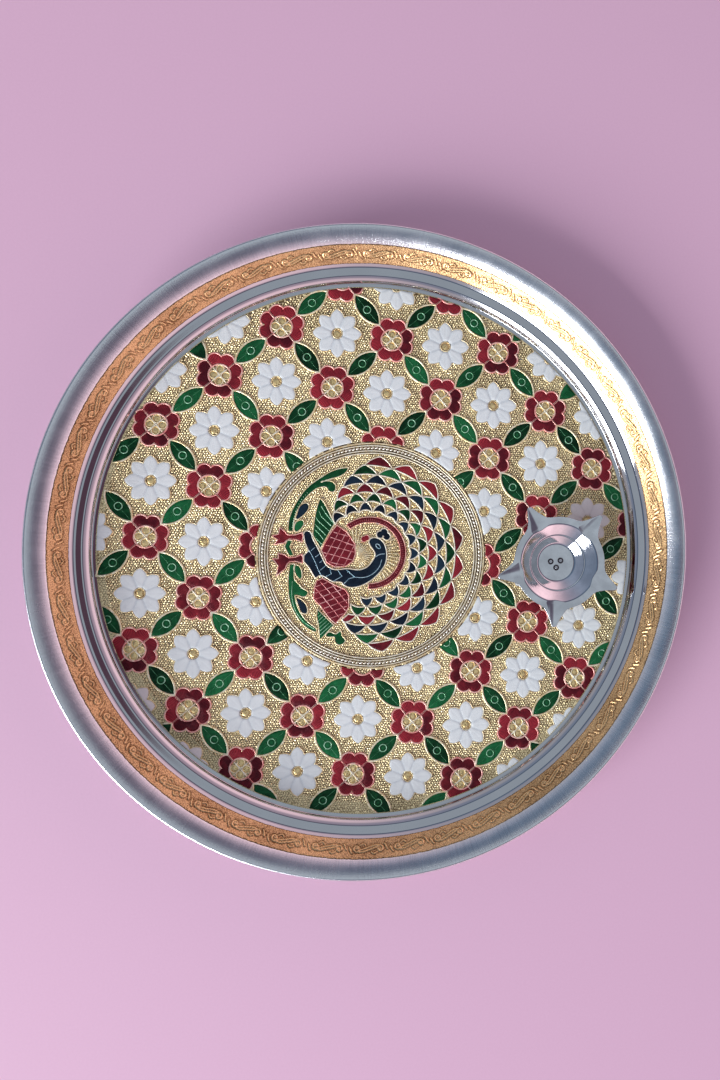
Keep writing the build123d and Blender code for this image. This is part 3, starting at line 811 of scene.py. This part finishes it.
def pebbles(pitch, reach, centre):
    """Tops and hollows of a pebbled ground, on a shaken honeycomb lattice."""
    span = np.arange(-int(1.2 * reach / pitch) - 2, int(1.2 * reach / pitch) + 3)
    i, j = np.meshgrid(span, span, indexing="ij")
    shake = rng.uniform(-0.28, 0.28, (*i.shape, 2))
    tops = pitch * np.stack([i - 0.5 * j, 0.866 * j], 2) + pitch * shake + centre
    hollows = [
        (tops[:-1, :-1] + tops[1:, :-1] + tops[1:, 1:]) / 3,
        (tops[:-1, :-1] + tops[1:, 1:] + tops[:-1, 1:]) / 3,
    ]
    points = np.concatenate([p.reshape(-1, 2) for p in (tops, *hollows)])
    raised = np.concatenate([np.ones(tops[..., 0].size), np.zeros(2 * hollows[0][..., 0].size)])
    near = np.hypot(*(points - centre).T) < reach
    return points[near], raised[near]


def under_enamel(points):
    hit = np.zeros(len(points), bool)
    for node in ENAMELS:
        for outer, holes in outlines(node):
            near = np.flatnonzero(((points > outer.min(0)) & (points < outer.max(0))).all(1))
            hit[near[inside(points[near], [outer, *holes])]] = True
    return hit


def step_up(value, lo, hi):
    t = np.clip((value - lo) / (hi - lo), 0, 1)
    return t * t * (3 - 2 * t)


def foil_sheet():
    """The foil disc: pebbled between motifs, finer in the medallion, smooth at its edge and border."""
    wide, wide_top = pebbles(WIDE_PEBBLE, FOIL_R - 0.9, np.zeros(2))
    outside = np.hypot(*(wide - PATTERN).T) > MEDAL_R - 1.5
    fine, fine_top = pebbles(FINE_PEBBLE, MEDAL_R - 2.2, PATTERN)
    points = np.concatenate([wide[outside], fine])
    raised = np.concatenate([wide_top[outside], fine_top])
    bare = ~under_enamel(points)
    sides = 720
    circle = unit_circle(sides + 1)[:-1]
    rim = (FOIL_R - 0.25) * circle
    points = np.concatenate([rim, points[bare]])
    raised = np.concatenate([np.ones(len(rim)), raised[bare]])
    border = np.hypot(*(points - PATTERN).T)
    rough = 1 - 0.6 * step_up(np.hypot(points[:, 0] - 1.5, points[:, 1] - 4.0), 125.6, 126.6)
    rough[:len(rim)] = 0
    framed = step_up(border, 49.0, 49.6) * (1 - step_up(border, 55.0, 55.4))
    rough *= 1 - 0.8 * framed
    height = FOIL_Z + (PEBBLE_TOP * raised - PEBBLE_H * (1 - raised)) * rough - 0.03 * rng.random(len(points))
    got = delaunay_2d_cdt([Vector(p) for p in points], [], [], 0, 1e-6)
    first = [ids[0] for ids in got[3]]
    verts = [(*points[i], height[i]) for i in first]
    # Painted light in the tone: pebble tops painted as highlight, hollows as shade; the smooth border band in
    # the medallion is drawn darker.
    tone = [0.3 + (raised[i] - 0.3) * rough[i] - 0.22 * framed[i] for i in first]
    faces = [tuple(f) for f in got[2]]
    above = 0
    for r, z in ((FOIL_R - 0.05, FOIL_Z - 0.1), (FOIL_R, SHEET_T - 0.02)):
        faces += bridge(above, len(verts), sides)
        above = len(verts)
        verts += [(r * x, r * y, z) for x, y in circle]
        tone += [0.3] * sides
    verts.append((0.0, 0.0, SHEET_T - 0.02))
    tone.append(0.6)
    faces += [(above + (k + 1) % sides, above + k, len(verts) - 1) for k in range(sides)]
    build("dressed_foil", verts, faces, FOIL, "gold_foil", ("floor_foil",), False, raised=tone)


foil_sheet()


# Enamel of the floor


def rounded(depth, high, width=0.55):
    """Height of a drop of lacquer, from its edge inwards."""
    low = 0.10
    return low + (high - low) * (1 - np.exp(-(depth / width) ** 2))


def red_relief(points, depth):
    uv = to_pattern(points)
    uv -= PITCH * np.round(uv / PITCH)
    turn = np.arctan2(uv[:, 1], uv[:, 0])
    reach = np.hypot(*uv.T)
    off = np.abs((turn + pi / 4) % (pi / 2) - pi / 4)
    split = np.exp(-((off - pi / 4) * reach / 0.45) ** 2)
    height = rounded(depth, 0.27) - 0.08 * split * (reach > 0.72 * RED_R)
    outer = np.clip((reach - 0.66 * RED_R) / (0.25 * RED_R), 0, 1)
    return height, {"hatch": turn * 76 / (2 * pi), "thin_and_shade": 0.16 * outer * np.exp(-depth / 0.7)}


def white_relief(points, depth):
    uv = to_pattern(points) - 0.5 * PITCH
    cell = np.round(uv / PITCH)
    worn = np.array([tuple(c) in WORN_WHITES for c in cell.astype(int)], float)
    uv -= PITCH * cell
    turn = np.arctan2(uv[:, 1], uv[:, 0]) - radians(5)
    reach = np.hypot(*uv.T)
    off = (turn + pi / 8) % (pi / 4) - pi / 8
    seam = np.exp(-(((pi / 8 - np.abs(off)) * reach) / 0.34) ** 2)
    vein = np.exp(-((off * reach) / 0.26) ** 2) * np.clip((reach - 4.2) / 2, 0, 1)
    crown = np.cos(4 * off)
    height = rounded(depth, 0.27, 0.5) + 0.05 * crown - 0.05 * vein
    height -= 0.11 * seam * np.clip((8.6 - reach) / 2.5, 0.2, 1)
    # Painted light: petal crowns lighter as painted highlight, seams and veins darker as painted shade.
    return height, {"thin_and_shade": 0.6 + 0.3 * crown - 0.4 * seam - 0.15 * vein, "worn": worn}


def leaf_frame(points):
    """Coordinates along and across the nearest leaf."""
    uv = to_pattern(points)
    found = []
    for shift, swap in (((0.5, 0.0), False), ((0.0, 0.5), True)):
        rel = uv - np.array(shift) * PITCH
        rel -= PITCH * np.round(rel / PITCH)
        found.append(rel[:, ::-1] if swap else rel)
    first, second = found
    return np.where((np.hypot(*second.T) < np.hypot(*first.T))[:, None], second, first)


def leaf_relief(points, depth):
    along = leaf_frame(points)
    reach = np.hypot(*along.T)
    veins = (along[:, 0] + 0.9 * np.abs(along[:, 1])) / 0.85
    height = rounded(depth, 0.25) + 0.08 * np.exp(-(reach / 0.9) ** 2)
    return height, {"hatch": veins * (reach > 2.4), "thin_and_shade": 0.25 * np.exp(-(reach / 0.8) ** 2)}


def plain_relief(points, depth):
    hatch = (points[:, 0] + points[:, 1]) / 0.9
    return rounded(depth, 0.28, 0.45), {"hatch": hatch, "thin_and_shade": 0.12 * np.exp(-depth / 0.3)}


enamel("red_flowers", RED, red_relief)
enamel("white_flowers", WHITE, white_relief, 0.5)
enamel("green_leaves", GREEN, leaf_relief, 0.5)

# Raised outlines of the floor's motifs
ridges("outline_red_flowers", around(("red_flowers",), 0.36, 0.3), 0.84, 0.42, ROSE_LINE)
ridges("outline_white_flowers", around(("white_flowers",), 0.14, 0.3), 0.40, 0.34, GOLD_LINE)
ridges("outline_leaves", around(("green_leaves",), 0.44, 0.3), 1.0, 0.44, LEAF_LINE)

# Gold hearts of the flowers
loop = unit_circle(29)
lobes, lobe_rims, crosses, bosses, boss_rims, leaf_rings, leaf_veins = [], [], [], [], [], [], []
span = int(FOIL_R / PITCH) + 3
for i in range(-span, span + 1):
    for j in range(-span, span + 1):
        red, white, *leaves = from_pattern(
            PITCH * np.array([(i, j), (i + 0.5, j + 0.5), (i + 0.5, j), (i, j + 0.5)]))
        if on_floor(*red, 0.8 * RED_CORE_R):
            for a in PATTERN_A + pi / 4 + 0.5 * pi * np.arange(4):
                out, side = heading(a), heading(a + 0.5 * pi)
                middle = red + 2.85 * out
                lobes.append((*middle, 1.9, 1.75, a, 0.24))
                lobe_rims.append(middle + 1.95 * loop[:, :1] * out + 1.8 * loop[:, 1:] * side)
            for a in PATTERN_A + 0.5 * pi * np.arange(2):
                arm = 5.3 * heading(a)
                crosses.append(ray(red - arm, red + arm, 1.5))
        if on_floor(*white, 0.8 * WHITE_CORE_R):
            bosses.append((*white, 2.0, 2.0, 0.0, 0.34))
            boss_rims.append(white + 2.35 * loop)
        for k, leaf in enumerate(leaves):
            way = heading(PATTERN_A + 0.5 * pi * k)
            if on_floor(*leaf):
                leaf_rings.append(leaf + 1.75 * loop)
                leaf_veins += [ray(leaf + side * 2.2 * way, leaf + side * 9.0 * way) for side in (-1, 1)]
beads("heart_lobes", lobes, HEART, rings=5, sides=20)
ridges("heart_lobe_rims", lobe_rims, 0.5, 0.42, LEAF_LINE)
ridges("heart_crosses", crosses, 0.62, 0.46, CREAM_LINE)
beads("flower_bosses", bosses, HEART, rings=6, sides=24)
ridges("boss_rims", boss_rims, 0.4, 0.30, GOLD_LINE)

# Medallion
MOTIFS = {
    "peacock_body": NAVY,
    "peacock_crest": NAVY,
    "peacock_beak": RED,
    "peacock_legs": RED,
    "peacock_wings": RED,
    "peacock_wing_feathers": GREEN,
    "neck_ring": RED,
    **{f"tail_row_{row + 1}": (NAVY, GREEN, RED)[row % 3] for row in range(TAIL_ROWS)},
    "branch": GREEN,
    "branch_green_leaves": GREEN,
    "branch_navy_leaves": NAVY,
}
for node, slot in MOTIFS.items():
    enamel(node, slot, plain_relief, 0.5)

GREENERY = ("peacock_wing_feathers", "branch", "branch_green_leaves", "branch_navy_leaves")
ridges("outline_peacock", around(("peacock_body", "peacock_crest"), 0.26), 0.60, 0.40, CREAM_LINE)
ridges("outline_red_peacock", around(("peacock_legs", "peacock_wings"), 0.24), 0.56, 0.40, ROSE_LINE)
ridges("outline_beak", around(("peacock_beak",), 0.16), 0.32, 0.36, ROSE_LINE)
ridges("outline_neck_ring", around(("neck_ring",), 0.2), 0.42, 0.38, ROSE_LINE)
ridges("outline_greenery", around(GREENERY, 0.30), 0.56, 0.40, LEAF_LINE)


def drawn(*lines):
    """Lines of the medallion drawing, given from its middle."""
    paths = []
    for line in lines:
        legs = [ray(a, b)[:-1] for a, b in zip(line, line[1:])]
        paths.append(PATTERN + np.concatenate(legs + [np.array(line[-1:])]))
    return paths


def parallel(middle, angle, spacing, count, reach):
    """Parallel lines on both sides of a point of the medallion drawing."""
    along, across = heading(angle), heading(angle + 0.5 * pi)
    feet = [PATTERN + middle + spacing * k * across for k in range(-count, count + 1)]
    return [ray(f - reach * along, f + reach * along) for f in feet]


def clipped(lines, node, inset=0.1):
    loops = [outer for outer, _ in outlines(node)]
    return [run for line in lines for run in within(line, loops, inset)]


# Rings and veins of the leaves
ridges("leaf_rings", clipped(leaf_rings, "green_leaves", 0.3), 0.5, 0.22, MINT_LINE, base=FOIL_Z + 0.20)
ridges("leaf_veins", clipped(leaf_veins, "green_leaves", 0.6), 0.26, 0.12, FERN_LINE, base=FOIL_Z + 0.20)

# Lattice on the wings, stripes on the flight feathers
wing_lines = drawn(
    ((-21.0, 12.1), (-11.0, 9.2)), ((-22.0, 9.7), (-8.2, 4.6)), ((-24.5, 5.7), (-7.5, 1.4)),
    ((-25.5, 2.2), (-8.4, -2.5)), ((-22.8, -2.6), (-11.6, -5.0)), ((-8.3, 6.0), (-14.1, -5.7)),
    ((-10.7, 8.8), (-17.8, -5.2)), ((-12.3, 11.8), (-20.9, -4.5)), ((-15.3, 13.0), (-23.7, -2.9)),
    ((-28.0, -14.6), (-23.5, -20.0), (-15.0, -30.9)), ((-25.0, -12.4), (-17.3, -21.4), (-12.0, -27.6)),
    ((-19.8, -13.2), (-14.8, -19.5), (-10.2, -25.2)), ((-14.0, -15.0), (-10.2, -19.2)),
)
wing_lines += parallel((-19.5, -21.0), radians(20), 2.8, 4, 12)
wing_lines = clipped(wing_lines, "peacock_wings")
ridges("wing_lattice", wing_lines, 0.42, 0.17, PINK_LINE, base=ON_ENAMEL)
stripes = drawn(
    ((-25.7, 21.6), (-24.6, 19.0), (-18.4, 13.0)), ((-27.2, 19.0), (-26.1, 16.9), (-19.8, 11.0)),
    ((-27.8, 15.6), (-25.9, 13.5), (-21.0, 8.6)), ((-28.3, 13.2), (-25.7, 10.8), (-22.4, 6.5)),
    ((-29.4, 10.5), (-26.5, 8.0), (-23.8, 5.0)), ((-24.6, 24.0), (-22.6, 20.6), (-18.6, 15.6)),
)
stripes += parallel((-23.0, -32.5), radians(42), 1.4, 5, 8)
stripes = clipped(stripes, "peacock_wing_feathers")
ridges("feather_stripes", stripes, 0.36, 0.17, MINT_LINE, base=ON_ENAMEL)

# Pale blue lines on the body and a ring round the eye
loop = unit_circle(25)
tilt = radians(-46)
eye = 1.4 * loop[:, :1] * heading(tilt) + 0.8 * loop[:, 1:] * heading(tilt + 0.5 * pi)
body_lines = [
    PATTERN + curve([(-30.4, 2.9), (-29.0, 0.3), (-27.3, -3.1), (-25.6, -7.4), (-23.9, -10.2)]),
    PATTERN + curve([(-8.5, -10.4), (-5.1, -10.6), (-2.0, -10.0), (1.2, -8.0), (3.4, -5.2), (4.5, -1.8)]),
    PATTERN + curve([(1.5, -0.6), (3.6, 0.6), (6.2, 0.8)]),
    PATTERN + (2.7, 4.5) + eye,
]
body_lines += drawn(
    ((-29.4, 2.5), (-27.5, 4.0)), ((-27.3, -0.7), (-25.2, 1.0)), ((-25.4, -3.5), (-23.7, -1.9)),
    ((-25.0, -7.0), (-22.2, -4.6)), ((-20.6, -5.7), (-19.7, -8.7), (-22.4, -10.1)),
    ((-16.7, -6.9), (-14.6, -9.9), (-18.6, -12.2)),
    ((-12.5, -6.8), (-11.0, -8.2), (-8.5, -10.4), (-11.3, -11.1), (-13.8, -13.6)),
)
ridges("body_lines", body_lines, 0.38, 0.17, SKY_LINE, base=ON_ENAMEL)

# Ticks on the neck ring, and gold rays between the neck, the wing and the ring
ticks = []
for a in np.radians(np.arange(-88.0, 126.0, 3.6)):
    ticks.append(ray(RING_C + (RING_R - 0.6) * heading(a), RING_C + (RING_R + 0.6) * heading(a)))
ridges("ring_ticks", ticks, 0.3, 0.12, WINE_LINE, base=ON_ENAMEL)
birds = ("peacock_body", "peacock_crest", "peacock_beak", "peacock_wings")
solid = [outer for node in birds for outer, _ in outlines(node)]
rays = []
for middle, angles, last in (
    (PATTERN + (-8.4, 0.5), np.arange(-66, 104, 9.0), 0),
    (RING_C, np.arange(-66, 62, 8.0), -1),
):
    for a in np.radians(angles):
        line = ray(middle, middle + 30 * heading(a))
        open_foil = ~inside(line, solid) & (gap(line, solid) > 0.7)
        open_foil &= np.hypot(*(line - RING_C).T) < RING_R - 0.5 * RING_W - 0.6
        rays += stretches(line, open_foil)[last:][:1]
ridges("head_rays", rays, 0.5, 0.40, LEAF_LINE)

# Dots and a vein on the branch
spine = curve([(-38.1, 13.8), (-37.4, 18.0), (-36.1, 22.6), (-33.8, 27.1), (-31.2, 30.3)], 1.05)
dots = [(*(PATTERN + p), 0.34, 0.34, 0.0, 0.14) for p in spine]
beads("branch_dots", dots, MINT_LINE, base=FOIL_Z + 0.24, rings=3, sides=8)
vein = PATTERN + curve([(-38.1, -12.0), (-38.3, -19.0), (-36.7, -25.8), (-33.1, -31.2), (-27.4, -35.4)])
ridges("branch_vein", clipped([vein], "branch", 0.3), 0.32, 0.15, MINT_LINE, base=ON_ENAMEL)


# Tail fan: pale lines round the feather marks, and a gold pillow inside each mark
def tail():
    cover = PATTERN + np.array([(-10.6, -16.6), (-10.6, -27.8), (-17.6, -34.4), (-30.4, -20.0)])
    pillows = []
    for row in range(TAIL_ROWS):
        reach = TAIL_R + TAIL_STEP * (row - 0.36)
        for j in range(min(13, 10 + TAIL_ROWS - 1 - row)):
            a = TAIL_START + TAIL_TURN * (0.5 * (TAIL_ROWS - 1 - row) - j)
            spot = FAN + reach * heading(a)
            clear = hypot(*(spot - RING_C)) > RING_R + 0.5 * RING_W + 1.2
            if clear and not inside(spot[None], [cover])[0]:
                pillows.append((*spot, 1.0, 0.8 + 0.2 * row, a, 0.30))
    rows = [f"tail_row_{row + 1}" for row in range(TAIL_ROWS)]
    ridges("tail_lines", around(rows, 0.30), 0.70, 0.42, CREAM_LINE)
    beads("tail_pillows", pillows, HEART, rings=4, sides=14)


tail()

# Border of the medallion: plain lines and a rope
circle = unit_circle(361)
EDGE_R = 54.6
LINE_RS = (53.5, 51.0, 49.8)
ROPE_R = 52.3
STRANDS = 180
ridges("medallion_edge", [PATTERN + EDGE_R * circle], 0.8, 0.38, GOLD_LINE)
ridges("medallion_lines", [PATTERN + r * circle for r in LINE_RS], 0.6, 0.42, CREAM_LINE)
rope = []
for a in 2 * pi * np.arange(STRANDS) / STRANDS:
    rope.append((*(PATTERN + ROPE_R * heading(a)), 0.98, 0.52, a + 0.5 * pi + 0.35, 0.44))
beads("medallion_rope", rope, ROPE)

# Lamp pressed from one sheet, with five folded spouts
TILT = radians(48)
bowl = [(0, DIYA_T), (8.9, DIYA_T), (9.4, 0.85), (13.4, 4.05), (13.6, 4.17), (13.9, 4.2), (14.2, 4.4)]
bowl += [(18.9, 8.05), (19.4, 8.3), (20.05, DIYA_H), (60, DIYA_H)]
bowl_r, bowl_z = np.array(bowl).T
reach_x = np.array((20.6, 21.6, 22.6, 24.0, 25.6, 27.2, 28.8, 30.2, 30.9, 31.25, 31.4))
reach_y = np.array((9.4, 7.2, 5.6, 4.55, 3.60, 2.75, 2.00, 1.40, 1.0, 0.6, 0.0))


def lamp():
    sides, rings = 600, 78
    turn = 2 * pi * np.arange(sides) / sides
    off = (turn - TILT + pi / 5) % (2 * pi / 5) - pi / 5
    tip = np.interp(np.abs(off), np.arctan2(reach_y, reach_x)[::-1], np.hypot(reach_x, reach_y)[::-1])
    edge = np.maximum(tip, 22.7)
    inner = np.concatenate([np.linspace(0.6, 8.4, 8), np.linspace(8.6, 13.2, 10), np.linspace(13.4, 14.4, 8),
                            np.linspace(14.8, 20.2, 26)])
    part = np.linspace(0, 1, rings - len(inner) + 1)[1:]
    top, low = [], []
    for k in range(rings):
        r = np.full(sides, inner[k]) if k < len(inner) else 20.2 + (edge - 20.2) * part[k - len(inner)]
        x, y = r * np.cos(off), np.abs(r * np.sin(off))
        half = np.interp(x, (17.5, 20.0, 24.0, 31.4), (5.0, 4.9, 3.3, 0.9))
        sink = np.interp(x, (17.0, 20.0, 31.4), (1.1, 0.85, 0.1))
        lift = np.interp(x, (20.0, 31.4), (0.0, 0.8)) * np.clip(1.5 - y / 5.0, 0, 1)
        fold = sink * np.clip(1.02 - np.sqrt((y / half) ** 2 + 0.06), 0, None)
        z = np.interp(r, bowl_r, bowl_z) + lift * (r > 20.0)
        z = np.minimum(z, DIYA_H + lift - fold)
        top.append(np.stack([DIYA[0] + r * np.cos(turn), DIYA[1] + r * np.sin(turn), FOIL_Z + z], 1))
        low.append(top[-1] - (0, 0, DIYA_T))
    verts = [(*DIYA, FOIL_Z + DIYA_T)] + np.concatenate(top).tolist()
    bottom = len(verts)
    verts += [(*DIYA, FOIL_Z)] + np.concatenate(low).tolist()
    faces = []
    for i in range(sides):
        j = (i + 1) % sides
        faces += [(0, 1 + i, 1 + j), (bottom, bottom + 1 + j, bottom + 1 + i)]
    for k in range(rings - 1):
        a, b = 1 + k * sides, 1 + (k + 1) * sides
        faces += bridge(a, b, sides)
        faces += [face[::-1] for face in bridge(bottom + a, bottom + b, sides)]
    edge = 1 + (rings - 1) * sides
    faces += bridge(edge, bottom + edge, sides)
    build("dressed_lamp", verts, faces, LAMP_STEEL, "polished_steel", ("diya_bowl",))


lamp()
spots = [DIYA + 0.3 * BASE_R * heading(a) for a in np.radians((170, 20, 275))]
weld_rings = [p + 1.1 * unit_circle(25) for p in spots]
ridges("weld_rings", weld_rings, 0.95, 0.14, WELD, "weld_steel", FOIL_Z + DIYA_T, ("spot_welds",))
weld_tips = [(*p, 0.6, 0.6, 0.0, 0.12) for p in spots]
beads("weld_tips", weld_tips, LAMP_STEEL, "weld_steel", FOIL_Z + DIYA_T)

# Floor
floor_mesh = bpy.data.meshes.new("floor")
floor_mesh.from_pydata([(-4, -4, 0), (4, -4, 0), (4, 4, 0), (-4, 4, 0)], [], [(0, 1, 2, 3)])
floor = bpy.data.objects.new("floor", floor_mesh)
mat, tree, bsdf = shader("pale_floor")
grain = noise(tree, 900.0, 3.0)
tree.links.new(blend(tree, grain, (0.77, 0.47, 0.63), (0.81, 0.51, 0.67)), bsdf.inputs["Base Color"])
bsdf.inputs["Roughness"].default_value = 0.75
floor.data.materials.append(mat)
scene.collection.objects.link(floor)

# Light: a window low on the left, pale walls and a dim ceiling
world = bpy.data.worlds.new("room")
scene.world = world
world.use_nodes = True
tree = world.node_tree
split = tree.nodes.new("ShaderNodeSeparateXYZ")
tree.links.new(put(tree, "ShaderNodeTexCoord", out=0), split.inputs[0])
sideways = remap(tree, split.outputs[0], -0.5, 0.5)
low = blend(tree, sideways, (0.50, 0.49, 0.52), (1.4, 0.98, 1.05))
walls = blend(tree, sideways, (0.30, 0.35, 0.45), (0.58, 0.44, 0.52))
cove = blend(tree, sideways, (0.12, 0.18, 0.26), (0.14, 0.125, 0.17))
ceiling = blend(tree, remap(tree, split.outputs[0], -0.34, -0.26), (0.13, 0.07, 0.10), (0.46, 0.52, 0.57))
lower = blend(tree, remap(tree, split.outputs[2], 0.22, 0.42), low, walls)
upper = blend(tree, remap(tree, split.outputs[2], 0.82, 0.90), cove, ceiling)
room = blend(tree, remap(tree, split.outputs[2], 0.46, 0.64), lower, upper)
tree.links.new(room, tree.nodes["Background"].inputs["Color"])
tree.nodes["Background"].inputs["Strength"].default_value = 1.1

window = bpy.data.lights.new("window", "AREA")
window.shape = "RECTANGLE"
window.size, window.size_y = 2.4, 1.1
window.energy = 138.0
window.color = (0.95, 0.98, 1.0)
azimuth, elevation, distance = radians(223), radians(19), 3.0
stand = bpy.data.objects.new("window", window)
stand.location = Vector((*(cos(elevation) * heading(azimuth)), sin(elevation))) * distance
stand.rotation_euler = (-stand.location).to_track_quat("-Z", "Y").to_euler()
scene.collection.objects.link(stand)

# Camera
camera_data = bpy.data.cameras.new("camera")
camera_data.lens = 21.3
camera_data.sensor_width = 36.0
camera_data.shift_x = -0.088
camera_data.shift_y = -0.0139
camera_data.clip_start = 0.01
camera = bpy.data.objects.new("camera", camera_data)
camera.matrix_world = Matrix((
    (0.99337, -0.00116, -0.11493, 0.0035),
    (0.0, 0.99995, -0.01012, 0.0087),
    (0.11494, 0.01005, 0.99332, 0.3146),
    (0.0, 0.0, 0.0, 1.0),
))
scene.collection.objects.link(camera)
scene.camera = camera
scene.view_settings.view_transform = "Standard"
